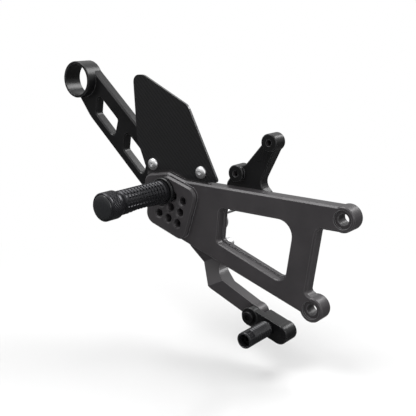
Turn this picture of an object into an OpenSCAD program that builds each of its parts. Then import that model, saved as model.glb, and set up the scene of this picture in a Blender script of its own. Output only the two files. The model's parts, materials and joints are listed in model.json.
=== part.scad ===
// Brake-side rear set for a motorcycle: milled bracket, knurled footpeg, heel guard,
// exhaust hanger, master cylinder bracket and rear brake lever.
// X points forward along the motorcycle, Y points in towards it, Z points up.
// The origin is the centre of the upper frame bolt, on the face that the bolt head meets.

/* [Frame bolts] */
// How far the lower frame bolt sits behind the upper one
boss_dx = 22.4; // [16:0.2:28]
// How far the lower frame bolt sits below the upper one
boss_dz = 72; // [66:0.5:78]
// Outside diameter of the two frame bosses
boss_d = 19; // [17:0.5:21]
// Bore for the M8 frame bolts
boss_bore_d = 8.5; // [8.2:0.1:9]
// How far the bosses stand out behind the bracket
boss_back = 2; // [1:0.5:5]

/* [Bracket] */
// Thickness of the bracket plate
plate_t = 10.5; // [9:0.5:14]
// Chamfer round the front edges of the plates
edge_chamfer = 1.4; // [0.8:0.1:1.8]
// How far the plate stands out in front of the boss faces
plate_proud = 2; // [1:0.25:3]
// Height of the top edge above the upper bolt
top_edge = 9; // [8:0.25:9.4]
// Depth of the step inside the window, from the front
window_step = 7; // [5:0.5:8]
// Width of the ledge inside the window
window_ledge = 1; // [0.5:0.25:2]
// How far the adjuster pad stands out of the bracket
pad_h = 4; // [3:0.5:6]

/* [Adjuster holes] */
// Distance between neighbouring peg positions
grid_pitch = 10; // [9.5:0.1:10.5]
// Tilt of the hole pattern
grid_tilt = 17; // [14:0.5:20]
// Core diameter of the M8 threads
tap_d = 6.8; // [6.6:0.1:7]
// Length of thread that holds the peg's bolt (the tapped holes go right through)
peg_thread = 12; // [9:0.5:15]

/* [Footpeg] */
// Distance of the peg behind the upper frame bolt
peg_back = 159; // [150:0.5:168]
// Distance of the peg below the upper frame bolt
peg_down = 1; // [0:0.25:4]
// Length of the peg from its collar to its tip
peg_len = 66; // [60:1:76]
// Diameter at the peg's tip
peg_d = 22; // [20:0.5:24]
// Diameter of the peg's grip
grip_d = 19; // [18:0.5:19.5]
// Distance between the grooves of the grip
groove_pitch = 3.4; // [3:0.1:4]
// Depth of the grooves
groove_depth = 1; // [0.6:0.1:1.2]
// Number of lengthwise cuts round the grip
cut_count = 18; // [12:1:22]
// Thickness of the collar under the peg
collar_t = 3; // [2:0.5:5]
// Diameter of the collar
collar_d = 22.6; // [21:0.2:25]
// Diameter of the peg bolt
peg_bolt_d = 8; // [7.4:0.2:8]

/* [Heel guard] */
// Thickness of the carbon plate
guard_t = 2; // [1.5:0.25:2.5]
// Height of the guard above the upper frame bolt
guard_top = 90.5; // [80:0.5:100]
// Diameter of the guard's screws
guard_screw_d = 5; // [4:0.5:5]
// Distance between the guard's screws
guard_screw_gap = 50; // [46:0.5:52]

/* [Exhaust hanger] */
// Distance of the ring behind the upper frame bolt
ring_back = 263.3; // [250:0.5:280]
// Height of the ring above the upper frame bolt
ring_up = 82.6; // [76:0.5:90]
// Outside diameter of the ring
ring_d = 31.4; // [30:0.2:34]
// Wall of the ring
ring_wall = 2.2; // [1.8:0.1:4]
// Length of the ring
ring_len = 17; // [15:0.5:24]
// Thickness of the arm
arm_t = 8; // [6:0.5:10]

/* [Cylinder bracket] */
// Distance between the cylinder's two screws
cyl_pitch = 40; // [38:0.5:44]
// Angle of the cylinder
cyl_angle = 42; // [38:0.5:46]
// Thickness of the cylinder bracket
cyl_t = 9; // [7:0.5:11]
// Thread core of the cylinder's screws
cyl_tap_d = 5; // [4.8:0.1:5.2]

/* [Brake lever] */
// Distance of the pivot behind the upper frame bolt
pivot_back = 136; // [132:0.5:138]
// Distance of the pivot below the upper frame bolt
pivot_down = 31; // [29:0.5:32]
// Length of the spacer between bracket and lever
spacer_t = 5; // [4.5:0.25:7]
// Thickness of the lever
lever_t = 8; // [7:0.5:9]
// Thickness of the lever's outer arm
arm_front_t = 10; // [8:0.5:11]
// How far the outer arm stands in front of the boss faces
arm_front = 2; // [0:0.5:4]
// Diameter of the lever's hub
hub_d = 32; // [29:0.5:33]
// Length of the short arm to the push rod
rod_arm = 25; // [23:0.5:26]
// Bore for the push rod's pin
rod_bore_d = 6.2; // [6:0.1:6.6]
// Diameter of the pivot bolt's shoulder
shoulder_d = 12; // [10:0.5:13]
// Running gap between shoulder and bush
run_gap = 0.04; // [0.02:0.01:0.08]
// Side play of the lever
side_play = 0.3; // [0.2:0.05:0.5]
// Play between the lever and its stop
stop_play = 0.3; // [0.2:0.05:0.6]

/* [Toe piece] */
// Diameter of the toe peg
toe_d = 12.4; // [11:0.2:14]
// Length of the toe peg
toe_len = 30; // [26:0.5:36]
// Thickness of the toe piece's front plate
toe_plate_t = 6; // [5:0.5:8]
// Depth of the toe piece beyond the lever's end
toe_end_t = 14; // [10:0.5:18]
// Distance from the toe screw to the toe peg
toe_reach = 16.6; // [16.4:0.1:20]
// How far the toe piece's round end lies beyond the toe peg
toe_tail = 11; // [6:0.5:14]

/* [Return spring] */
// Wire of the return spring
wire_d = 2; // [1.6:0.1:2.2]
// Mean radius of the spring's coil
coil_r = 8.2; // [8:0.1:9]
// Whole turns of the spring
coil_turns = 3; // [2:1:4]

/* [Hidden] */
$fn = 48;
eps = 0.01;
fit_gap = 0.05;

black = "#2c2b2c";
dark = "#1c1c1d";
steel = "#c9c9cb";
bronze = "#8a6a3c";

// Faces from front to back
plate_front = -plate_proud;
plate_back = plate_t - plate_proud;
pad_front = plate_front - pad_h;
boss_r = boss_d / 2;

// Anchor points in the side view, as [x, z]
lower_bolt = [-boss_dx, -boss_dz];
peg = [-peg_back, -peg_down];
pivot = [-pivot_back, -pivot_down];
ring = [-ring_back, ring_up];

function unit(v) = v / norm(v);
function turned(v, a) = [v.x * cos(a) - v.y * sin(a), v.x * sin(a) + v.y * cos(a)];
function along(p, a, d) = p + d * [cos(a), sin(a)];
function xy(p) = [p[0], p[1]];
function at(p, dx, dz, r) = [p.x + dx, p.y + dz, r];

// Rounded outlines: corners are [x, z, radius], anticlockwise, and inset moves them inward
function edge_dir(c, i) = unit(xy(c[(i + 1) % len(c)]) - xy(c[i % len(c)]));
// A nearly straight corner is left as one point
arc_step = 14;
least_bend = 4;
least_r = 0.4;
function corner_arc(c, i, inset) =
    let (d1 = edge_dir(c, i + len(c) - 1), d2 = edge_dir(c, i),
         n1 = [-d1.y, d1.x], n2 = [-d2.y, d2.x],
         bend = atan2(d1.x * d2.y - d1.y * d2.x, d1 * d2),
         s = sign(bend),
         r = max(least_r, c[i][2] - s * inset),
         mid = (n1 + n2) / (1 + n1 * n2),
         centre = xy(c[i]) + (inset + s * r) * mid,
         steps = ceil(abs(bend) / arc_step))
    abs(bend) < least_bend ? [xy(c[i]) + inset * mid]
        : [for (j = [0 : steps]) centre - s * r * turned(n1, bend * j / steps)];
function outline(c, inset = 0) = [for (i = [0 : len(c) - 1]) each corner_arc(c, i, inset)];

// A flat slab of an outline, from one depth to another
module slab(corners, y0, y1, inset = 0) {
    translate([0, y1, 0])
        rotate([90, 0, 0])
            linear_extrude(y1 - y0)
                polygon(outline(corners, inset));
}

// A solid between two outlines of the same corners, each given as [depth, inset]
module taper(corners, front, back) {
    a = outline(corners, front[1]);
    b = outline(corners, back[1]);
    n = len(a);
    polyhedron(
        concat([for (p = a) [p.x, front[0], p.y]], [for (p = b) [p.x, back[0], p.y]]),
        concat([[for (i = [n - 1 : -1 : 0]) i]],
            [for (i = [0 : n - 1]) [i, (i + 1) % n, n + (i + 1) % n, n + i]],
            [[for (i = [0 : n - 1]) n + i]]), convexity = 6);
}

// A slab with a chamfer of the given width round its front face
module chamfered_slab(corners, y0, y1, c) {
    difference() {
        slab(corners, y0, y1);
        difference() {
            slab(corners, y0 - 0.4, y0 + c + 0.4, -2);
            taper(corners, [y0 - 0.6, c + 0.6], [y0 + c + 0.6, -0.6]);
        }
    }
}

// A cutter for a window with a chamfer round its front edge
module chamfered_window(corners, y0, y1, c) {
    slab(corners, y0 - 1, y1);
    taper(corners, [y0 - 0.5, -c - 0.5], [y0 + c + 0.5, 0.5]);
}

// A round bar or hole along Y
module rod(p, y0, y1, r, r_back = -1) {
    translate([p.x, y0, p.y])
        rotate([-90, 0, 0])
            cylinder(h = y1 - y0, r1 = r, r2 = r_back < 0 ? r : r_back);
}

// A turned form about an axis along Y, its profile given as [radius, depth]
module turned_form(p, profile) {
    translate([p.x, 0, p.y])
        rotate([-90, 0, 0])
            rotate_extrude()
                polygon(profile);
}

// A round bar along Y with a chamfer at its front end, its back end or both
module round_bar(p, y0, y1, r, front_c = 0, back_c = 0) {
    turned_form(p, concat([[0, y0]],
        front_c > 0 ? [[r - front_c, y0], [r, y0 + front_c]] : [[r, y0]],
        back_c > 0 ? [[r, y1 - back_c], [r - back_c, y1]] : [[r, y1]],
        [[0, y1]]));
}

module washer(p, y0, y1, r_in, r_out) {
    difference() {
        rod(p, y0, y1, r_out);
        rod(p, y0 - 1, y1 + 1, r_in);
    }
}

// A hexagon socket, cut from depth y0 to y1
module hex_socket(p, y0, y1, af) {
    translate([p.x, y0, p.y])
        rotate([-90, 0, 0])
            cylinder(h = y1 - y0, r = af / sqrt(3), $fn = 6);
}

// Cap screw driven from the back: the head lies behind the depth y_head
module back_cap_screw(p, y_tip, y_head, d, head_d, head_h) {
    socket = 0.6 * head_h;
    difference() {
        union() {
            round_bar(p, y_tip, y_head + 1, d / 2, 0.8);
            round_bar(p, y_head, y_head + head_h, head_d / 2, 0, 0.6);
        }
        hex_socket(p, y_head + head_h - socket, y_head + head_h + 1, d * 0.75);
    }
}

// Cap screw driven from the front: the head lies before the depth y_head
module front_cap_screw(p, y_head, y_tip, d, head_d, head_h) {
    socket = 0.6 * head_h;
    difference() {
        union() {
            round_bar(p, y_head - 1, y_tip, d / 2, 0, 0.8);
            round_bar(p, y_head - head_h, y_head, head_d / 2, 0.6);
        }
        hex_socket(p, y_head - head_h - 1, y_head - head_h + socket, d * 0.75);
    }
}

// Bracket outlines
leg_inset = 4.5;
plate_corners = [
    at(peg, -22.5, -28.2, 10),
    at(lower_bolt, -0.6, -6.3, 0.5),
    at(lower_bolt, 4.9, 7.5, 0.5),
    at(lower_bolt, -leg_inset - 0.4, 11.8, 3),
    [-leg_inset - 15.4, -9.6, 5],
    [0, -9.3, 0.5],
    [0, top_edge, 0.5],
    at(peg, 18, top_edge + peg_down, 8),
    at(peg, 1, 14.7, 6),
    at(peg, -26, 10, 9)];
pad_corners = [
    at(peg, -21.3, -27, 9),
    at(peg, 20.2, -40.1, 8.5),
    at(peg, 34, 3.9, 8),
    at(peg, 2.4, 13.2, 6),
    at(peg, -16, 3, 8)];
window_corners = [
    [-108.4, -36, 3.5],
    at(lower_bolt, -23.4, 15, 7.5),
    [-38.6, -8, 12],
    [-106, -8, 4.5]];

// Peg positions on the pad, counted forward and down
grid_u = turned([grid_pitch, 0], -grid_tilt);
grid_v = turned([0, -grid_pitch], -grid_tilt);
function grid_hole(i, j) = peg + i * grid_u + j * grid_v;

// Heel guard and the flange behind it
guard_back = guard_t;
flange_t = 4;
guard_screw_left = peg + [-16.4, 19.2];
guard_screws = [guard_screw_left, guard_screw_left + [guard_screw_gap, -0.8]];
guard_corners = [
    at(peg, -23, 12.9, 2),
    at(peg, 3, 17.6, 3),
    at(peg, 19, top_edge + peg_down + 2, 3),
    at(peg, 50.6, top_edge + peg_down + 2, 2),
    [-138.5, guard_top - 21.5, 8],
    [-184.5, guard_top, 9],
    [-195.8, guard_top - 0.5, 6],
    [-192.6, 37, 25]];
flange_corners = [
    at(peg, -24.2, 0, 3),
    at(peg, 39.8, 0, 3),
    at(guard_screws[1], 6, 7.5, 6),
    at(guard_screws[1], -8, 7.5, 6),
    at(guard_screws[1], -13, -4, 5),
    at(guard_screws[0], 26, -4, 5),
    at(guard_screws[0], 20, 8, 6),
    at(guard_screws[0], -8, 8, 6)];

// Exhaust hanger
hanger_a = peg + [-18.5, -9];
hanger_b = peg + [-4, 19];
hanger_bolt_d = 6;
hanger_thread = 5.5;
arm_angle = -42;
arm_y0 = plate_back;
arm_y1 = plate_back + arm_t;
ring_y1 = arm_y1 + 0.5;
ring_y0 = ring_y1 - ring_len;
function arm_at(s, t, r) =
    let (p = along(along(ring, arm_angle, s), arm_angle + 90, t)) [p.x, p.y, r];
function arm_s(p) = (p - ring) * [cos(arm_angle), sin(arm_angle)];
function arm_tt(p) = (p - ring) * [-sin(arm_angle), cos(arm_angle)];
lobe = 8.5;
arm_end_a = [arm_s(hanger_a), arm_tt(hanger_a)];
arm_end_b = [arm_s(hanger_b), arm_tt(hanger_b)];
hanger_corners = [
    arm_at(0, -ring_d / 2 + 0.9, 1),
    arm_at(26, arm_end_a.y - lobe, 24),
    arm_at(arm_end_a.x + lobe, arm_end_a.y - lobe, lobe - 0.1),
    arm_at(arm_end_a.x + lobe, arm_end_a.y + lobe, 6),
    arm_at(arm_end_b.x + lobe, arm_end_b.y + lobe, lobe - 0.1),
    arm_at(arm_end_b.x - lobe, arm_end_b.y + lobe, lobe - 0.1),
    arm_at(arm_end_b.x - 2 * lobe, ring_d / 2, 12),
    arm_at(0, ring_d / 2 - 0.9, 1)];
arm_windows = [
    [arm_at(30.5, -12, 3), arm_at(58.5, -12, 3), arm_at(51.5, 2.5, 3), arm_at(21, 2.5, 3)],
    [arm_at(73.5, -12, 3), arm_at(103, -12, 3), arm_at(96, 2.5, 3), arm_at(64, 2.5, 3)]];

// Cylinder bracket
cyl_top = [-66.5, 46];
cyl_low = along(cyl_top, cyl_angle + 180, cyl_pitch);
cyl_feet = [[-97.5, 0.3], [-75.5, 0.3]];
foot_screw_d = 6;
foot_thread = 8;
cyl_boss_r = 6.8;
cyl_boss_front = 3;
cyl_corners = [
    at(cyl_feet[0], -8.5, -6.8, 5),
    at(cyl_feet[1], 7.5, -6.8, 5),
    at(cyl_feet[1], 6.5, 6.2, 6),
    at(cyl_feet[1], -1, 12.5, 8),
    at(cyl_top, 4.9, -3.4, 2),
    at(cyl_top, 0.8, 5.6, 2),
    at(cyl_top, -5.4, 0.9, 2),
    at(cyl_low, 7, 7.4, 6),
    at(cyl_low, -3.4, 4.6, 2),
    at(cyl_low, -5.6, -1.8, 2),
    at(cyl_feet[0], -9.5, 10, 5)];

// Brake lever
lever_y0 = plate_back + spacer_t + side_play;
lever_y1 = lever_y0 + lever_t;
front_y0 = -arm_front;
front_y1 = front_y0 + arm_front_t;
hub_r = hub_d / 2;
rod_eye = along(pivot, 90 + cyl_angle, rod_arm);
rod_eye_r = 7;
toe_hinge = pivot + [64, -56.5];
toe_end_r = 8;
toe_plate_h = 14.2;
toe_angle = -17;
toe = along(toe_hinge, toe_angle, toe_reach);
toe_end = along(toe, toe_angle, toe_tail);
toe_step = toe_end_r + 0.6;
toe_pad = 0.3;
lever_corners = [
    at(pivot, -hub_r + 0.1, 1, 1),
    at(pivot, -hub_r + 1.5, -16.5, 12),
    at(pivot, 20.5, -44.2, 12),
    at(toe_hinge, -8.5, -1.2, 6),
    at(toe_hinge, -3, -7.2, 0.4),
    at(toe_hinge, 1, 7.6, 0.4),
    at(pivot, 24.5, -31.4, 9),
    at(pivot, 21.4, -21, 5),
    at(pivot, 15, 4, 1)];
// The lever steps outward: depth against distance from the pivot, along the step's direction
step_angle = 62;
step_start = 28;
step_run = 19;
step_profile = [
    [-60, lever_y0], [step_start, lever_y0],
    [step_start + step_run, front_y0], [130, front_y0],
    [130, front_y1], [step_start + step_run + 4, front_y1],
    [step_start + 4, lever_y1], [-60, lever_y1]];
bush_wall = 2;
bore_r = shoulder_d / 2 + run_gap;
bush_r = bore_r + bush_wall;

// The stop stands beside the lever's front edge, clear of it by the play
edge_a = xy(lever_corners[7]);
edge_b = xy(lever_corners[8]);
edge_n = turned(unit(edge_b - edge_a), -90);
stop_r = 4.5;
stop = edge_a + 9 * unit(edge_b - edge_a) + (stop_r + stop_play) * edge_n;
stop_len = spacer_t + side_play + 0.75 * lever_t;
stop_screw_d = 4;

// Pivot stack, from the lever to the bolt's head
washer_t = 1.2;
coil_gap = 0.2;
washer_y0 = lever_y1 + side_play;
coil_y0 = washer_y0 + washer_t + coil_gap + wire_d / 2;
coil_step = wire_d + 0.3;
pin_r = 2;
leg_side = coil_r - (pin_r + wire_d / 2 + 0.2);
anchor = pivot + [20, 14];
anchor_d = norm(anchor - pivot);
anchor_dir = atan2(anchor.y - pivot.y, anchor.x - pivot.x);
leg_a = anchor_dir + acos(leg_side / anchor_d);
leg_b = 203;
post_run = 23;
post = along(along(pivot, leg_b, leg_side), leg_b + 90, post_run);
coil_sweep = 360 * coil_turns + leg_b - leg_a;
coil_y1 = coil_y0 + coil_step * coil_sweep / 360;
retainer_y0 = coil_y1 + wire_d / 2 + coil_gap;
retainer_y1 = retainer_y0 + 1.5;
head_h = 5;
pivot_thread = 9;

// Footpeg
collar_front = pad_front - collar_t;
tip_y = collar_front - peg_len;
grip_r = grip_d / 2;
bolt_seat = collar_front - 0.7 * peg_len;
scoop_r = 60;
scoop_depth = 2.7;
cut_side = 1.7;
cut_depth = 0.73;
cap_r = peg_d / 2 - 1.6;
cap_seat = tip_y + 2.5;
grip_y0 = collar_front - 4;
groove_count = floor((peg_len - 21) / groove_pitch);
grip_y1 = grip_y0 - groove_count * groove_pitch;
peg_bore_r = peg_bolt_d / 2 + 0.15;
head_bore_r = peg_bolt_d / 2 + 3;
peg_profile = concat(
    [[peg_bore_r, collar_front], [grip_r - 0.6, collar_front], [grip_r, collar_front - 0.6],
     [grip_r, grip_y0]],
    [for (i = [0 : groove_count - 1]) each [
        [grip_r - groove_depth, grip_y0 - (i + 0.3) * groove_pitch],
        [grip_r, grip_y0 - (i + 0.6) * groove_pitch],
        [grip_r, grip_y0 - (i + 1) * groove_pitch]]],
    [[grip_r - groove_depth, grip_y1 - 1], [peg_d / 2, grip_y1 - 6.5],
     [peg_d / 2, tip_y + 0.8], [peg_d / 2 - 0.8, tip_y], [cap_r + fit_gap, tip_y],
     [cap_r + fit_gap, cap_seat], [head_bore_r, cap_seat], [head_bore_r, bolt_seat],
     [peg_bore_r, bolt_seat]]);

// Toe peg
toe_front = front_y0 - toe_plate_t;
toe_tip = toe_front - toe_len;
toe_r = toe_d / 2;
toe_groove = 2.6;
toe_grooves = floor((toe_len - 8) / toe_groove);
toe_bolt_d = 6;
toe_seat = toe_tip + 9;
toe_profile = concat(
    [[toe_bolt_d / 2 + 0.1, toe_front], [toe_r - 1.4, toe_front], [toe_r - 1.4, toe_front - 1.5],
     [toe_r, toe_front - 2.4]],
    [for (i = [0 : toe_grooves - 1]) each [
        [toe_r, toe_front - 3 - i * toe_groove],
        [toe_r - 0.8, toe_front - 3 - (i + 0.35) * toe_groove],
        [toe_r, toe_front - 3 - (i + 0.7) * toe_groove]]],
    [[toe_r, toe_tip + 0.6], [toe_r - 0.6, toe_tip], [toe_r - 1.4, toe_tip],
     [toe_r - 1.4, toe_seat], [toe_bolt_d / 2 + 0.1, toe_seat]]);

// One milled piece: plate, raised pad, guard flange and the two frame bosses
module frame_bracket() color(black)
    difference() {
        union() {
            chamfered_slab(plate_corners, plate_front, plate_back, edge_chamfer);
            chamfered_slab(pad_corners, pad_front, 0, edge_chamfer);
            slab(flange_corners, guard_back, guard_back + flange_t);
            rod(hanger_b, guard_back + 1, plate_back, lobe);
            for (p = [[0, 0], lower_bolt])
                round_bar(p, plate_front, plate_back + boss_back, boss_r, 0.8);
        }
        // window with a ledge near the back
        chamfered_window(window_corners, plate_front, plate_front + window_step, edge_chamfer - 0.5);
        slab(window_corners, plate_front, plate_back + 1, window_ledge);
        for (p = [[0, 0], lower_bolt]) {
            rod(p, -20, 20 + plate_t, boss_bore_d / 2);
            rod(p, plate_front - 1, 0, boss_bore_d / 2 + 2.7);
        }
        for (i = [0 : 2])
            for (j = [0 : 2]) {
                rod(grid_hole(i, j), pad_front - 1, plate_back + 1,
                    i + j == 0 ? peg_bolt_d / 2 + fit_gap : tap_d / 2);
                rod(grid_hole(i, j), pad_front - eps, pad_front + 0.8, tap_d / 2 + 1.2, tap_d / 2);
            }
        for (p = guard_screws)
            rod(p, 0, guard_back + flange_t + 1, guard_screw_d / 2 + fit_gap);
        for (p = [hanger_a, hanger_b])
            rod(p, plate_back - hanger_thread, plate_back + 1, hanger_bolt_d / 2 + fit_gap);
        for (p = cyl_feet)
            rod(p, plate_back - foot_thread, plate_back + 1, foot_screw_d / 2 + fit_gap);
        rod(pivot, plate_back - pivot_thread, plate_back + 1, 4 + fit_gap);
        rod(anchor, plate_back - 6, plate_back + 1, pin_r + fit_gap);
        rod(stop, plate_back - 7, plate_back + 1, stop_screw_d / 2 + fit_gap);
    }

// Turned peg with ring grooves, lengthwise cuts and a scooped underside
module footpeg() color(dark)
    difference() {
        turned_form(peg, peg_profile);
        for (k = [0 : cut_count - 1])
            translate([peg.x, 0, peg.y])
                rotate([0, k * 360 / cut_count, 0])
                    translate([0, grip_y1 + 0.37, grip_r - cut_depth])
                        rotate([0, -45, 0])
                            cube([cut_side, grip_y0 - grip_y1 - 0.9, cut_side]);
        // shallow scoop under the grip
        translate([peg.x - 20, collar_front - 0.45 * peg_len,
                peg.y - grip_r + scoop_depth - scoop_r])
            rotate([0, 90, 0])
                cylinder(h = 40, r = scoop_r);
    }

module peg_collar() color(black)
    difference() {
        round_bar(peg, collar_front, pad_front, collar_d / 2, 0.6);
        rod(peg, collar_front - 1, pad_front + 1, peg_bore_r);
    }

module peg_bolt() color(steel)
    front_cap_screw(peg, bolt_seat, pad_front + peg_thread, peg_bolt_d,
        2 * head_bore_r - 0.4, 7);

// Domed plug that closes the peg's tip
module peg_end_cap() color("#3c3d3f")
    turned_form(peg, concat(
        [[0, cap_seat + 7], [head_bore_r - fit_gap, cap_seat + 7],
         [head_bore_r - fit_gap, cap_seat], [cap_r, cap_seat], [cap_r, tip_y]],
        [for (a = [15 : 15 : 90]) [cap_r * cos(a), tip_y - 2 * sin(a)]]));

module heel_guard() color("#18181a")
    difference() {
        slab(guard_corners, 0, guard_back);
        for (p = guard_screws)
            rod(p, -1, guard_back + 1, guard_screw_d / 2 + fit_gap);
    }

// Button heads outside, threads in the bracket's flange
module heel_guard_screws() color(steel)
    for (p = guard_screws) {
        head_r = guard_screw_d;
        difference() {
            union() {
                rod(p, -eps, guard_back + flange_t, guard_screw_d / 2);
                turned_form(p, concat([[0, 0], [head_r, 0], [head_r, -0.4]],
                    [for (a = [15 : 15 : 90]) [head_r * cos(a) * 0.98, -0.4 - 2.3 * sin(a)]]));
            }
            hex_socket(p, -4, -1, guard_screw_d * 0.6);
        }
    }

// Ring, ribbed arm with two windows and a forked end, milled from one plate
module exhaust_hanger() color(black)
    difference() {
        union() {
            chamfered_slab(hanger_corners, arm_y0, arm_y1, edge_chamfer - 0.2);
            round_bar(ring, ring_y0, ring_y1, ring_d / 2, 0.5, 0.3);
        }
        rod(ring, ring_y0 - 1, ring_y1 + 1, ring_d / 2 - ring_wall);
        for (w = arm_windows)
            chamfered_window(w, arm_y0, arm_y1 + 1, edge_chamfer - 0.4);
        for (p = [hanger_a, hanger_b])
            rod(p, arm_y0 - 1, arm_y1 + 1, hanger_bolt_d / 2 + 0.3);
    }

module hanger_bolts() color(steel)
    for (p = [hanger_a, hanger_b])
        back_cap_screw(p, plate_back - hanger_thread + 1, arm_y1, hanger_bolt_d, 10, 6);

// Plate that carries the brake's master cylinder on two tapped bosses
module cylinder_bracket() color(black)
    difference() {
        union() {
            chamfered_slab(cyl_corners, plate_back, plate_back + cyl_t, edge_chamfer - 0.6);
            for (p = [cyl_top, cyl_low])
                round_bar(p, plate_back - cyl_boss_front, plate_back + cyl_t, cyl_boss_r, 0.6);
        }
        for (p = [cyl_top, cyl_low])
            rod(p, plate_back - 20, plate_back + cyl_t + 1, cyl_tap_d / 2);
        for (p = cyl_feet) {
            rod(p, plate_back - 1, plate_back + cyl_t + 1, foot_screw_d / 2 + 0.3);
            rod(p, plate_back + cyl_t - 2, plate_back + cyl_t + 1, 5.4);
        }
        // arch between the two feet
        rod((cyl_feet[0] + cyl_feet[1]) / 2 + [0, -4], plate_back - 1, plate_back + cyl_t + 1, 4.2);
    }

module cylinder_bracket_screws() color(steel)
    for (p = cyl_feet)
        back_cap_screw(p, plate_back - foot_thread + 1, plate_back + cyl_t - 2, foot_screw_d, 10, 6);

// Shoulder bolt that the lever turns on
module pivot_bolt() color(steel)
    difference() {
        union() {
            rod(pivot, plate_back - pivot_thread + 1, plate_back + 1, 4);
            rod(pivot, plate_back, retainer_y1 + 1, shoulder_d / 2);
            round_bar(pivot, retainer_y1, retainer_y1 + head_h, shoulder_d / 2 + 3, 0, 0.6);
        }
        hex_socket(pivot, retainer_y1 + 1.5, retainer_y1 + head_h + 1, 6);
    }

module pivot_spacer() color(steel)
    washer(pivot, plate_back, plate_back + spacer_t, bore_r, shoulder_d / 2 + 4);

module thrust_washer() color(bronze)
    washer(pivot, washer_y0, washer_y0 + washer_t, bore_r, shoulder_d / 2 + 5);

module retaining_washer() color(steel)
    washer(pivot, retainer_y0, retainer_y1, bore_r, coil_r + wire_d / 2 + 1);

// Torsion spring: two straight legs and a coil between them, swept as a round wire
spring_path = concat(
    [for (d = [27 : -9 : 9]) let (p = along(along(pivot, leg_a, coil_r), leg_a - 90, d))
        [p.x, coil_y1, p.y]],
    [for (a = [0 : 18 : coil_sweep]) let (p = along(pivot, leg_a + a, coil_r))
        [p.x, coil_y1 - (coil_y1 - coil_y0) * a / coil_sweep, p.y]],
    [for (d = [0.5, 9, 18, 27]) let (p = along(along(pivot, leg_b, coil_r), leg_b + 90, d))
        [p.x, coil_y0, p.y]]);
spring_sides = 8;
spring_last = len(spring_path) - 1;
function path_dir(i) =
    unit(spring_path[min(i + 1, spring_last)] - spring_path[max(i - 1, 0)]);
function wire_ring(i) =
    let (t = path_dir(i), u = unit(cross(t, [0, 1, 0])), w = cross(t, u))
    [for (k = [0 : spring_sides - 1])
        let (a = k * 360 / spring_sides)
        spring_path[i] + wire_d / 2 * (cos(a) * u + sin(a) * w)];
module return_spring() color(steel)
    polyhedron(
        [for (i = [0 : spring_last]) each wire_ring(i)],
        concat([[for (k = [spring_sides - 1 : -1 : 0]) k]],
            [for (i = [0 : spring_last - 1]) for (k = [0 : spring_sides - 1])
                let (a = i * spring_sides, b = (k + 1) % spring_sides)
                [a + k, a + b, a + spring_sides + b, a + spring_sides + k]],
            [[for (k = [0 : spring_sides - 1]) spring_last * spring_sides + k]]),
        convexity = 8);

module spring_anchor() color(steel)
    rod(anchor, plate_back - 5.5, coil_y1 + wire_d / 2 + 1.5, pin_r);

module stop_bush() color(steel)
    washer(stop, plate_back, plate_back + stop_len, stop_screw_d / 2 + fit_gap, stop_r);

module stop_screw() color(steel)
    back_cap_screw(stop, plate_back - 6.5, plate_back + stop_len, stop_screw_d, 7, 3);

// One milled lever: its outline from the side, cut by the step in its depth
module brake_lever() color(black)
    difference() {
        intersection() {
            union() {
                slab(lever_corners, front_y0 - 5, lever_y1 + 5);
                rod(pivot, front_y0 - 5, lever_y1 + 5, hub_r);
                rod(toe_hinge, front_y0 - 5, lever_y1 + 5, toe_end_r);
                rod(rod_eye, front_y0 - 5, lever_y1 + 5, rod_eye_r);
                translate([pivot.x, 0, pivot.y])
                    rotate([0, -90 - cyl_angle, 0])
                        translate([0, front_y0 - 5, -5.5])
                            cube([rod_arm, lever_y1 - front_y0 + 10, 11]);
            }
            translate([pivot.x, 0, pivot.y])
                rotate([0, step_angle, 0])
                    translate([0, 0, -90])
                        linear_extrude(180)
                            polygon(step_profile);
        }
        rod(pivot, lever_y0 - 1, lever_y1 + 1, bush_r + 0.02);
        rod(rod_eye, lever_y0 - 1, lever_y1 + 1, rod_bore_d / 2);
        rod(toe_hinge, front_y0 - 1, front_y1 - 1.5, 3 + fit_gap);
        rod(post, lever_y1 - 6, lever_y1 + 1, pin_r + fit_gap);
    }

module pivot_bush() color(bronze)
    washer(pivot, lever_y0, lever_y1, bore_r, bush_r);

module spring_post() color(steel)
    rod(post, lever_y1 - 5.5, coil_y0 + wire_d / 2 + 1, pin_r);

// Adjustable end of the lever: thin over the lever's end, thicker beyond it, with a round end
module toe_piece() color(black)
    difference() {
        union() {
            round_bar(toe_hinge, toe_front - toe_pad, front_y0 - toe_pad, toe_end_r - 0.5, 0.6);
            round_bar(toe_end, toe_front, toe_front + toe_end_t, toe_end_r - 0.5, 0.6);
            translate([toe_hinge.x, toe_front, toe_hinge.y])
                rotate([0, -toe_angle, 0])
                    translate([0, 0, -toe_plate_h / 2]) {
                        cube([toe_step + 1, toe_plate_t, toe_plate_h]);
                        translate([toe_step, 0, 0])
                            cube([toe_reach + toe_tail - toe_step, toe_end_t, toe_plate_h]);
                    }
        }
        rod(toe_hinge, toe_front - 1, front_y0 + 1, 3.3);
        rod(toe, toe_front - 1, toe_front + toe_end_t - 4, toe_bolt_d / 2 + fit_gap);
    }

module toe_piece_screw() color(steel)
    front_cap_screw(toe_hinge, toe_front - toe_pad, front_y1 - 2.5, 6, 10, 3.2);

module toe_peg() color(dark)
    turned_form(toe, toe_profile);

module toe_peg_bolt() color(dark)
    front_cap_screw(toe, toe_seat, toe_front + toe_end_t - 5, toe_bolt_d, 2 * toe_r - 3.4, 4);

frame_bracket();
footpeg();
peg_collar();
peg_bolt();
peg_end_cap();
heel_guard();
heel_guard_screws();
exhaust_hanger();
hanger_bolts();
cylinder_bracket();
cylinder_bracket_screws();
pivot_bolt();
pivot_spacer();
thrust_washer();
retaining_washer();
return_spring();
spring_anchor();
stop_bush();
stop_screw();
brake_lever();
pivot_bush();
spring_post();
toe_piece();
toe_piece_screw();
toe_peg();
toe_peg_bolt();
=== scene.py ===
import json
import math

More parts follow.
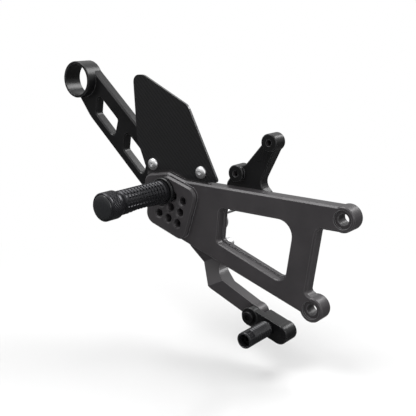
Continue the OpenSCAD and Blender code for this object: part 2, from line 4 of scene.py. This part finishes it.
import bpy
import numpy as np
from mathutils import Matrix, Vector


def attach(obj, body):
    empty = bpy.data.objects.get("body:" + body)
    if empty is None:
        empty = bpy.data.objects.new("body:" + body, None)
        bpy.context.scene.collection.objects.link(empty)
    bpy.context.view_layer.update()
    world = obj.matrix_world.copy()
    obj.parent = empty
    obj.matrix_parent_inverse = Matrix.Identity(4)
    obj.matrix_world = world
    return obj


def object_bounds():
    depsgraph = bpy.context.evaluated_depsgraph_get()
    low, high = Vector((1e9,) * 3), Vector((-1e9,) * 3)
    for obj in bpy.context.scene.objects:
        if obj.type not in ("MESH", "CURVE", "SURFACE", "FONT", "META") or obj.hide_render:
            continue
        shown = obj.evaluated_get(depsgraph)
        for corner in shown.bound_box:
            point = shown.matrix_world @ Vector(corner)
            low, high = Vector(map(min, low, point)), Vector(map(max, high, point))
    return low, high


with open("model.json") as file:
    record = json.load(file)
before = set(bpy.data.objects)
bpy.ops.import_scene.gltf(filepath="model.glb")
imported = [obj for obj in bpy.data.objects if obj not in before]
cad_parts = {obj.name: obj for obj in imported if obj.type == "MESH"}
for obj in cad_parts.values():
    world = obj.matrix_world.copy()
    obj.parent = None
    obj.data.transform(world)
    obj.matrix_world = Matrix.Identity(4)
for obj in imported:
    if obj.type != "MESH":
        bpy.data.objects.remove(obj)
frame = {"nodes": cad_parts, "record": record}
low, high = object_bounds()
nodes = frame["nodes"]
scene = bpy.context.scene
print("frame loaded:", len(nodes), "nodes")

mmPerMetre = 1000.0


# Small helpers
def toLinear(hexText):
    # sRGB to linear: c / 12.92 below 0.04045, else ((c + 0.055) / 1.055) to the power 2.4
    channels = [int(hexText[i:i + 2], 16) / 255 for i in (1, 3, 5)]
    return tuple(c / 12.92 if c <= 0.04045 else ((c + 0.055) / 1.055) ** 2.4
                 for c in channels) + (1.0,)


def addNode(owner, kind, settings=None, inputs=None):
    # Adds one shader node to a material or world and sets its options and inputs. An input is a
    # plain value, a socket to link, or a node whose first output is linked
    node = owner.node_tree.nodes.new("ShaderNode" + kind)
    for key, value in (settings or {}).items():
        setattr(node, key, value)
    for key, value in (inputs or {}).items():
        if isinstance(value, bpy.types.Node):
            value = value.outputs[0]
        if isinstance(value, bpy.types.NodeSocket):
            owner.node_tree.links.new(value, node.inputs[key])
        else:
            node.inputs[key].default_value = value
    return node


def emptyMaterial(name):
    material = bpy.data.materials.new(name)
    material.use_nodes = True
    material.node_tree.nodes.clear()
    return material


def placeInMm(material):
    # Object coordinates are metres in the row frame; the patterns are worked out in millimetres
    metres = addNode(material, "TexCoord").outputs["Object"]
    return addNode(material, "VectorMath", {"operation": "SCALE"}, {0: metres, "Scale": mmPerMetre})


def finishedMaterial(material, inputs):
    shader = addNode(material, "BsdfPrincipled", None, inputs)
    addNode(material, "OutputMaterial", None, {"Surface": shader})
    return material


# Materials. The Mix node keeps its colours at inputs 6 and 7 and output 2, its numbers at 2 and 3
noiseSpan = {"From Min": 0.3, "From Max": 0.7}  # noise seldom leaves this span
softNoise = {"Detail": 2.0}
fineNoise = {"Detail": 3.0}
edgeRays = {"samples": 12}  # rays that feel for an edge to round
plainWhite = (1.0, 1.0, 1.0, 1.0)


def anodisedAluminium(name, values):
    # Bead blasted and anodised aluminium: satin black with a fine grain and faint clouds. Where the rounded
    # normal turns away from the flat one, the edges are painted light grey: a painted highlight along every
    # edge
    material = emptyMaterial(name)
    place = placeInMm(material)
    grain = addNode(material, "TexNoise", None,
                    {**fineNoise, "Vector": place, "Scale": values["grainPerMm"]})
    cloud = addNode(material, "TexNoise", None,
                    {**softNoise, "Vector": place, "Scale": values["cloudPerMm"]})
    rounded = addNode(material, "Bevel", edgeRays, {"Radius": values["edgeMm"] / mmPerMetre})
    flat = addNode(material, "NewGeometry").outputs["Normal"]
    alike = addNode(material, "VectorMath", {"operation": "DOT_PRODUCT"}, {0: rounded, 1: flat})
    edge = addNode(material, "MapRange", None, {
        "Value": alike.outputs["Value"], "From Min": values["edgeStart"], "From Max": values["edgeFull"],
        "To Min": 0.0, "To Max": values["edgeHighlightShare"]})
    rough = addNode(material, "MapRange", None, {
        "Value": cloud, **noiseSpan, "To Min": values["roughLow"], "To Max": values["roughHigh"]})
    tone = addNode(material, "Mix", {"data_type": "RGBA"},
                   {0: cloud, 6: toLinear(values["dark"]), 7: toLinear(values["light"])})
    # painted highlight: the colour is mixed towards light grey at the edges, in place of the light that
    # rounded edges catch
    paintedEdgeHighlight = addNode(material, "Mix", {"data_type": "RGBA"},
                   {0: edge, 6: tone.outputs[2], 7: toLinear(values["edgeHighlightColour"])})
    normal = addNode(material, "Bump", None, {
        "Height": grain, "Distance": values["grainMm"] / mmPerMetre, "Strength": 1.0,
        "Normal": rounded})
    return finishedMaterial(material, {
        "Base Color": paintedEdgeHighlight.outputs[2], "Metallic": values["metallic"], "Roughness": rough,
        "Specular IOR Level": values["specular"], "Normal": normal})


# the painted edge highlight starts where the two normals are 0.99 alike, and is full at 0.84
anodisedEdgeHighlight = {"edgeStart": 0.99, "edgeFull": 0.84}
anodised = anodisedAluminium("Black anodised aluminium", {
    **anodisedEdgeHighlight, "dark": "#383638", "light": "#444143", "metallic": 0.2, "specular": 0.6,
    "roughLow": 0.3, "roughHigh": 0.38, "grainPerMm": 6.0, "cloudPerMm": 0.05,
    "grainMm": 0.004, "edgeMm": 0.5, "edgeHighlightColour": "#a2a2a4", "edgeHighlightShare": 0.7})
deepAnodised = anodisedAluminium("Deep black anodised aluminium", {
    **anodisedEdgeHighlight, "dark": "#111112", "light": "#19191a", "metallic": 0.2, "specular": 0.5,
    "roughLow": 0.26, "roughHigh": 0.34, "grainPerMm": 6.0, "cloudPerMm": 0.05,
    "grainMm": 0.004, "edgeMm": 0.4, "edgeHighlightColour": "#8e8e90", "edgeHighlightShare": 0.7})
toePegBlack = anodisedAluminium("Black anodised knurled aluminium", {
    **anodisedEdgeHighlight, "dark": "#222224", "light": "#2c2c2f", "metallic": 0.5, "specular": 0.7,
    "roughLow": 0.2, "roughHigh": 0.28, "grainPerMm": 8.0, "cloudPerMm": 0.1,
    "grainMm": 0.002, "edgeMm": 0.15, "edgeHighlightColour": "#b0b0b2", "edgeHighlightShare": 0.8})


def turnedMetal(name, values):
    # Turned metal: rings about the depth axis show as fine lines, which blur its reflections
    material = emptyMaterial(name)
    stretched = addNode(material, "VectorMath", {"operation": "MULTIPLY"}, {
        0: placeInMm(material), 1: (values["acrossPerMm"], values["linesPerMm"], values["acrossPerMm"])})
    lines = addNode(material, "TexNoise", None, {**softNoise, "Vector": stretched, "Scale": 1.0})
    rough = addNode(material, "MapRange", None, {
        "Value": lines, **noiseSpan, "To Min": values["roughLow"], "To Max": values["roughHigh"]})
    rounded = addNode(material, "Bevel", edgeRays, {"Radius": values["edgeMm"] / mmPerMetre})
    normal = addNode(material, "Bump", None, {
        "Height": lines, "Distance": values["lineMm"] / mmPerMetre, "Strength": 1.0,
        "Normal": rounded})
    return finishedMaterial(material, {
        "Base Color": toLinear(values["colour"]), "Metallic": values["metallic"],
        "Roughness": rough, "Normal": normal})


zincSteel = turnedMetal("Zinc plated steel", {
    "colour": "#f0f0f1", "metallic": 1.0, "roughLow": 0.32, "roughHigh": 0.44,
    "acrossPerMm": 0.4, "linesPerMm": 7.0, "lineMm": 0.003, "edgeMm": 0.2})
blackSteel = turnedMetal("Black oxide steel", {
    "colour": "#2a2a2b", "metallic": 0.8, "roughLow": 0.32, "roughHigh": 0.44,
    "acrossPerMm": 0.4, "linesPerMm": 5.0, "lineMm": 0.003, "edgeMm": 0.2})
springSteel = turnedMetal("Bright spring steel", {
    "colour": "#b4b5b8", "metallic": 1.0, "roughLow": 0.18, "roughHigh": 0.28,
    "acrossPerMm": 0.4, "linesPerMm": 3.0, "lineMm": 0.002, "edgeMm": 0.1})
bronze = turnedMetal("Sintered bronze", {
    "colour": "#a9803f", "metallic": 1.0, "roughLow": 0.34, "roughHigh": 0.46,
    "acrossPerMm": 0.4, "linesPerMm": 4.0, "lineMm": 0.003, "edgeMm": 0.15})


def mouldedPolymer(values):
    # Moulded polymer: one dark grey with a low sheen and the faint grain of the mould
    material = emptyMaterial("Grey moulded polymer")
    grain = addNode(material, "TexNoise", None,
                    {**fineNoise, "Vector": placeInMm(material), "Scale": values["grainPerMm"]})
    normal = addNode(material, "Bump", None, {
        "Height": grain, "Distance": values["grainMm"] / mmPerMetre, "Strength": 1.0})
    return finishedMaterial(material, {
        "Base Color": toLinear(values["colour"]), "Roughness": values["rough"], "Normal": normal})


capPolymer = mouldedPolymer({"colour": "#222325", "rough": 0.3, "grainPerMm": 5.0, "grainMm": 0.006})


def carbonTwill(values):
    # Carbon cloth under clear coat: diagonal steps of dark tows below a smooth gloss.
    # Two over, two under: cell (i, j) shows the upright tow where (i + j) mod 4 is below 2
    material = emptyMaterial("Clear coated carbon twill")
    split = addNode(material, "SeparateXYZ", None, {0: placeInMm(material)})
    cloth = addNode(material, "CombineXYZ", None, {0: split.outputs[0], 1: split.outputs[2]})
    tows = addNode(material, "VectorMath", {"operation": "DIVIDE"},
                   {0: cloth, 1: (values["towMm"], values["towMm"], 1.0)})
    cells = addNode(material, "VectorMath", {"operation": "FLOOR"}, {0: tows})
    cell = addNode(material, "VectorMath", {"operation": "DOT_PRODUCT"}, {0: cells, 1: (1, 1, 0)})
    step = addNode(material, "Math", {"operation": "FLOORED_MODULO"}, {0: cell.outputs["Value"], 1: 4.0})
    upright = addNode(material, "Math", {"operation": "LESS_THAN"}, {0: step, 1: 1.5})
    # round tows: height = |sin(pi * x)|
    turned = addNode(material, "VectorMath", {"operation": "SCALE"}, {0: tows, "Scale": math.pi})
    wave = addNode(material, "VectorMath", {"operation": "SINE"}, {0: turned})
    domes = addNode(material, "VectorMath", {"operation": "ABSOLUTE"}, {0: wave})
    dome = addNode(material, "SeparateXYZ", None, {0: domes})
    height = addNode(material, "Mix", {"data_type": "FLOAT"},
                     {0: upright, 2: dome.outputs[1], 3: dome.outputs[0]})
    # fibres are noise drawn long along their tow and fine across it; it lightens and darkens the colour,
    # partly as fibre texture and partly as a painted sheen along the fibres
    long, fine = values["fibreAlong"], values["fibresPerTow"]
    fibres = []
    for stretch in ((long, fine, 0.0), (fine, long, 0.0)):
        stretched = addNode(material, "VectorMath", {"operation": "MULTIPLY"}, {0: tows, 1: stretch})
        fibres.append(addNode(material, "TexNoise", None, {**softNoise, "Vector": stretched, "Scale": 1.0}))
    fibre = addNode(material, "Mix", {"data_type": "FLOAT"}, {0: upright, 2: fibres[0], 3: fibres[1]})
    fibreSheenLift = addNode(material, "MapRange", None, {
        "Value": fibre, "From Min": values["fibreFrom"], "From Max": values["fibreTo"],
        "To Min": values["fibreLow"], "To Max": values["fibreHigh"]})
    # the twill pattern is real; the upright tows are painted lighter than the lying ones, a painted sheen
    # for the light that fibres of that direction catch
    towSheenColour = addNode(material, "Mix", {"data_type": "RGBA"},
                   {0: upright, 6: toLinear(values["lying"]), 7: toLinear(values["standingTowSheen"])})
    colour = addNode(material, "VectorMath", {"operation": "SCALE"}, {0: towSheenColour.outputs[2], "Scale": fibreSheenLift})
    normal = addNode(material, "Bump", None, {
        "Height": height, "Distance": values["towDepthMm"] / mmPerMetre, "Strength": 1.0})
    rounded = addNode(material, "Bevel", edgeRays, {"Radius": values["edgeMm"] / mmPerMetre})
    return finishedMaterial(material, {
        "Base Color": colour, "Metallic": values["metallic"], "Roughness": values["rough"],
        "Coat Weight": 1.0, "Coat Roughness": values["coatRough"], "Normal": normal,
        "Coat Normal": rounded})


carbon = carbonTwill({
    "towMm": 0.95, "fibresPerTow": 7.0, "fibreAlong": 0.5, "fibreFrom": 0.35, "fibreTo": 0.65,
    "fibreLow": 0.7, "fibreHigh": 1.4, "lying": "#0a0a0b", "standingTowSheen": "#1b1b1d",
    "metallic": 0.2, "rough": 0.4, "towDepthMm": 0.05, "coatRough": 0.1, "edgeMm": 0.3})

pegAxis = {"axisXMm": -159.0, "axisZMm": -1.0}


def knurledAluminium(values):
    # Turned and knurled aluminium: glossy black, with sharp diamonds that glint near the tip.
    # height = |sin(pi * (u + v))| * |sin(pi * (u - v))|, u round the peg and v along it, in pitches
    material = emptyMaterial("Knurled black aluminium")
    place = placeInMm(material)
    fromAxis = addNode(material, "VectorMath", {"operation": "SUBTRACT"},
                       {0: place, 1: (values["axisXMm"], 0.0, values["axisZMm"])})
    split = addNode(material, "SeparateXYZ", None, {0: fromAxis})
    angle = addNode(material, "Math", {"operation": "ARCTAN2"}, {0: split.outputs[2], 1: split.outputs[0]})
    unrolled = addNode(material, "CombineXYZ", None, {0: angle, 1: split.outputs[1]})
    around, along = values["diamonds"] / 2, math.pi / values["pitchMm"]
    cuts = []
    for slant in ((around, along, 0.0), (around, -along, 0.0)):
        phase = addNode(material, "VectorMath", {"operation": "DOT_PRODUCT"}, {0: unrolled, 1: slant})
        wave = addNode(material, "Math", {"operation": "SINE"}, {0: phase.outputs["Value"]})
        cuts.append(addNode(material, "Math", {"operation": "ABSOLUTE"}, {0: wave}))
    diamonds = addNode(material, "Math", {"operation": "MULTIPLY"}, {0: cuts[0], 1: cuts[1]})
    # the knurl runs from endMm to startMm and fades out over fadeMm at both ends
    ends = [addNode(material, "MapRange", None, {
        "Value": split.outputs[1], "From Min": edge, "From Max": edge + values["fadeMm"],
        "To Min": before, "To Max": 1.0 - before})
        for edge, before in ((values["endMm"], 0.0), (values["startMm"], 1.0))]
    shown = addNode(material, "Math", {"operation": "MULTIPLY"}, {0: ends[0], 1: ends[1]})
    cut = addNode(material, "Math", {"operation": "MULTIPLY"}, {0: diamonds, 1: shown})
    grain = addNode(material, "TexNoise", None,
                    {**softNoise, "Vector": place, "Scale": values["grainPerMm"]})
    rounded = addNode(material, "Bevel", edgeRays, {"Radius": values["edgeMm"] / mmPerMetre})
    grained = addNode(material, "Bump", None, {
        "Height": grain, "Distance": values["grainMm"] / mmPerMetre, "Strength": 1.0,
        "Normal": rounded})
    normal = addNode(material, "Bump", None, {
        "Height": cut, "Distance": values["depthMm"] / mmPerMetre, "Strength": 1.0,
        "Normal": grained})
    return finishedMaterial(material, {
        "Base Color": toLinear(values["colour"]), "Metallic": values["metallic"],
        "Roughness": values["rough"], "Specular IOR Level": values["specular"], "Normal": normal})


pegKnurl = knurledAluminium({
    **pegAxis, "colour": "#2a2a2d", "metallic": 0.6, "rough": 0.28, "specular": 0.7,
    "diamonds": 34, "pitchMm": 2.0, "startMm": -66.0, "endMm": -73.2, "fadeMm": 0.3,
    "depthMm": 0.35, "grainPerMm": 8.0, "grainMm": 0.002, "edgeMm": 0.12})

finishes = {
    "frame_bracket": anodised, "peg_collar": deepAnodised, "exhaust_hanger": deepAnodised,
    "cylinder_bracket": deepAnodised, "brake_lever": anodised, "toe_piece": deepAnodised,
    "footpeg": pegKnurl, "toe_peg": toePegBlack, "toe_peg_bolt": blackSteel,
    "peg_bolt": blackSteel, "peg_end_cap": capPolymer, "heel_guard": carbon,
    "heel_guard_screws": zincSteel, "hanger_bolts": zincSteel,
    "cylinder_bracket_screws": zincSteel, "pivot_bolt": zincSteel, "pivot_spacer": zincSteel,
    "retaining_washer": zincSteel, "spring_anchor": zincSteel, "stop_bush": zincSteel,
    "stop_screw": zincSteel, "spring_post": zincSteel, "return_spring": springSteel,
    "thrust_washer": bronze, "pivot_bush": bronze, "toe_piece_screw": blackSteel}
for nodeName, finish in finishes.items():
    mesh = nodes[nodeName].data
    mesh.materials.clear()
    mesh.materials.append(finish)
print("materials given to", len(finishes), "nodes")


# Threads in the tapped holes
def threadRidge(name, values, body, finish):
    # A helix of triangular section: point = axis + r(k) * (cos a, sin a), depth = a / 2 pi * pitch,
    # with r(k) and the depth offset of the three section points k
    turns = (values["toMm"] - values["fromMm"]) / values["pitchMm"] - 1
    angles = np.linspace(0, 2 * math.pi * turns, int(turns * values["stepsPerTurn"]) + 1)
    radii = np.array([values["wallMm"], values["wallMm"] - values["depthMm"], values["wallMm"]])
    offsets = np.array(values["sectionPitches"]) * values["pitchMm"]
    depth = values["fromMm"] + angles[:, None] / (2 * math.pi) * values["pitchMm"] + offsets
    x = values["axisXMm"] + radii * np.cos(angles)[:, None]
    z = values["axisZMm"] + radii * np.sin(angles)[:, None]
    points = np.stack([x, depth, z], axis=-1).reshape(-1, 3) / mmPerMetre
    first = np.arange(len(angles) - 1) * 3
    faces = [np.stack([first + a, first + b, first + b + 3, first + a + 3], axis=1)
             for a, b in ((0, 1), (1, 2))]
    mesh = bpy.data.meshes.new(name)
    mesh.from_pydata(points.tolist(), [], np.concatenate(faces).tolist())
    mesh.shade_smooth()
    mesh.materials.append(finish)
    piece = bpy.data.objects.new(name, mesh)
    scene.collection.objects.link(piece)
    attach(piece, body)


threadShape = {"stepsPerTurn": 40, "sectionPitches": (0.1, 0.5, 0.9)}
pegTap = {**threadShape, "fromMm": -5.0, "toMm": 8.3, "pitchMm": 1.25, "wallMm": 3.42, "depthMm": 0.42}
grid = {"pitchMm": 10.0, "tilt": math.radians(17), "holes": 3}
stepX = grid["pitchMm"] * math.cos(grid["tilt"])
stepZ = -grid["pitchMm"] * math.sin(grid["tilt"])
pegHoles = [(i, j) for i in range(grid["holes"]) for j in range(grid["holes"]) if i + j > 0]
for i, j in pegHoles:  # hole 0, 0 holds the peg's bolt
    place = {"axisXMm": pegAxis["axisXMm"] + i * stepX + j * stepZ,
             "axisZMm": pegAxis["axisZMm"] + i * stepZ - j * stepX}
    threadRidge(f"pegThread{i}{j}", {**pegTap, **place}, "frame_side", anodised)

cylinderTap = {**threadShape, "fromMm": 5.8, "toMm": 17.2, "pitchMm": 1.0, "wallMm": 2.52, "depthMm": 0.35}
cylinderMounts = [mount for mount in frame["record"]["mounts"]
                  if mount["name"] in ("cylinder_upper", "cylinder_lower")]
for mount in cylinderMounts:
    place = {"axisXMm": mount["pos_m"][0] * mmPerMetre, "axisZMm": mount["pos_m"][2] * mmPerMetre}
    threadRidge("thread_" + mount["name"], {**cylinderTap, **place}, "frame_side",
                anodised)
print("threads cut in", len(pegHoles) + len(cylinderMounts), "holes")


# Stage, light and camera
def studioFloor(values):
    # Pale floor near the object; further out it turns into the same white as the background.
    # In the part's own reflections the floor is dim, as with dark flags beside the camera.
    # It lies low enough for the lever to swing down without touching it
    material = emptyMaterial("Pale studio floor")
    offset = addNode(material, "VectorMath", {"operation": "SUBTRACT"},
                     {0: placeInMm(material), 1: values["fadeCentreMm"]})
    distance = addNode(material, "VectorMath", {"operation": "LENGTH"}, {0: offset}).outputs["Value"]
    far = addNode(material, "MapRange", {"interpolation_type": "SMOOTHSTEP"}, {
        "Value": distance, "From Min": values["fadeFromMm"], "From Max": values["fadeToMm"],
        "To Min": 0.0, "To Max": 1.0})
    path = addNode(material, "LightPath")
    share = addNode(material, "Math", {"operation": "MULTIPLY"},
                    {0: far, 1: path.outputs["Is Camera Ray"]})
    pale = addNode(material, "BsdfPrincipled", None, {
        "Base Color": toLinear(values["floorColour"]), "Roughness": values["floorRough"],
        "Specular IOR Level": values["floorSpecular"]})
    white = addNode(material, "Emission", None, {"Color": plainWhite, "Strength": 1.0})
    blend = addNode(material, "MixShader", None, {0: share, 1: pale, 2: white})
    dim = addNode(material, "BsdfDiffuse", None, {"Color": toLinear(values["mirroredColour"])})
    whole = addNode(material, "MixShader", None,
                    {0: path.outputs["Is Glossy Ray"], 1: blend, 2: dim})
    addNode(material, "OutputMaterial", None, {"Surface": whole})

    half = values["floorHalf"]
    z = low.z - values["floorGap"]
    mesh = bpy.data.meshes.new("studioFloor")
    mesh.from_pydata([(-half, -half, z), (half, -half, z), (half, half, z), (-half, half, z)],
                     [], [(0, 1, 2, 3)])
    mesh.materials.append(material)
    floor = bpy.data.objects.new("studioFloor", mesh)
    scene.collection.objects.link(floor)


def studioWorld(values):
    # White where the camera looks past the object; as light, brighter overhead than at the sides
    world = bpy.data.worlds.new("Studio")
    scene.world = world
    world.use_nodes = True
    world.node_tree.nodes.clear()
    direction = addNode(world, "TexCoord").outputs["Generated"]
    height = addNode(world, "SeparateXYZ", None, {0: direction}).outputs[2]
    level = addNode(world, "MapRange", {"interpolation_type": "SMOOTHSTEP"}, {
        "Value": height, "From Min": values["sideHeight"], "From Max": values["topHeight"],
        "To Min": values["sideLight"], "To Max": values["topLight"]})
    seen = addNode(world, "LightPath").outputs["Is Camera Ray"]
    lighting = addNode(world, "Background", None, {"Color": plainWhite, "Strength": level})
    white = addNode(world, "Background", None, {"Color": plainWhite, "Strength": 1.0})
    blend = addNode(world, "MixShader", None, {0: seen, 1: lighting, 2: white})
    addNode(world, "OutputWorld", None, {"Surface": blend})


def studioLamps(lamps):
    middle = (low + high) / 2
    for name, lamp in lamps.items():
        data = bpy.data.lights.new(name, "AREA")
        data.shape = "RECTANGLE"
        data.size, data.size_y = lamp["size"]
        data.energy = lamp["watts"]
        holder = bpy.data.objects.new(name, data)
        holder.location = middle + Vector(lamp["from"])
        holder.rotation_euler = (-Vector(lamp["from"])).to_track_quat("-Z", "Y").to_euler()
        scene.collection.objects.link(holder)


studioFloor({
    "floorColour": "#e6e6e6", "floorRough": 0.14, "floorSpecular": 0.5, "floorHalf": 6.0,
    "mirroredColour": "#464646", "floorGap": 0.0205,
    "fadeCentreMm": (-90.0, -60.0, -123.5), "fadeFromMm": 110.0, "fadeToMm": 400.0})
studioWorld({"sideHeight": 0.05, "topHeight": 0.7, "sideLight": 0.35, "topLight": 0.95})
studioLamps({
    "keyLamp": {"from": (-0.5, -0.5, 1.3), "size": (0.9, 0.7), "watts": 10},
    "rimLamp": {"from": (0.5, 0.9, 0.9), "size": (0.7, 0.5), "watts": 8},
    "sideLamp": {"from": (1.2, -0.5, 0.5), "size": (0.3, 1.0), "watts": 3}})
print("studio ready")


def photoCamera(values):
    data = bpy.data.cameras.new("photoCamera")
    data.lens = values["lensMm"]
    data.sensor_width = values["sensorMm"]
    data.dof.use_dof = False
    data.clip_start, data.clip_end = values["clip"]
    holder = bpy.data.objects.new("photoCamera", data)
    holder.location = values["place"]
    aim = Vector(values["aim"]) - Vector(values["place"])
    holder.rotation_euler = aim.to_track_quat("-Z", "Y").to_euler()
    scene.collection.objects.link(holder)
    scene.camera = holder


photoCamera({
    "place": (0.2372, -0.460, 0.1376), "aim": (-0.1184, 0.0, -0.0101),
    "lensMm": 66.0, "sensorMm": 36.0, "clip": (0.02, 50.0)})
scene.view_settings.view_transform = "Standard"
print("camera ready")
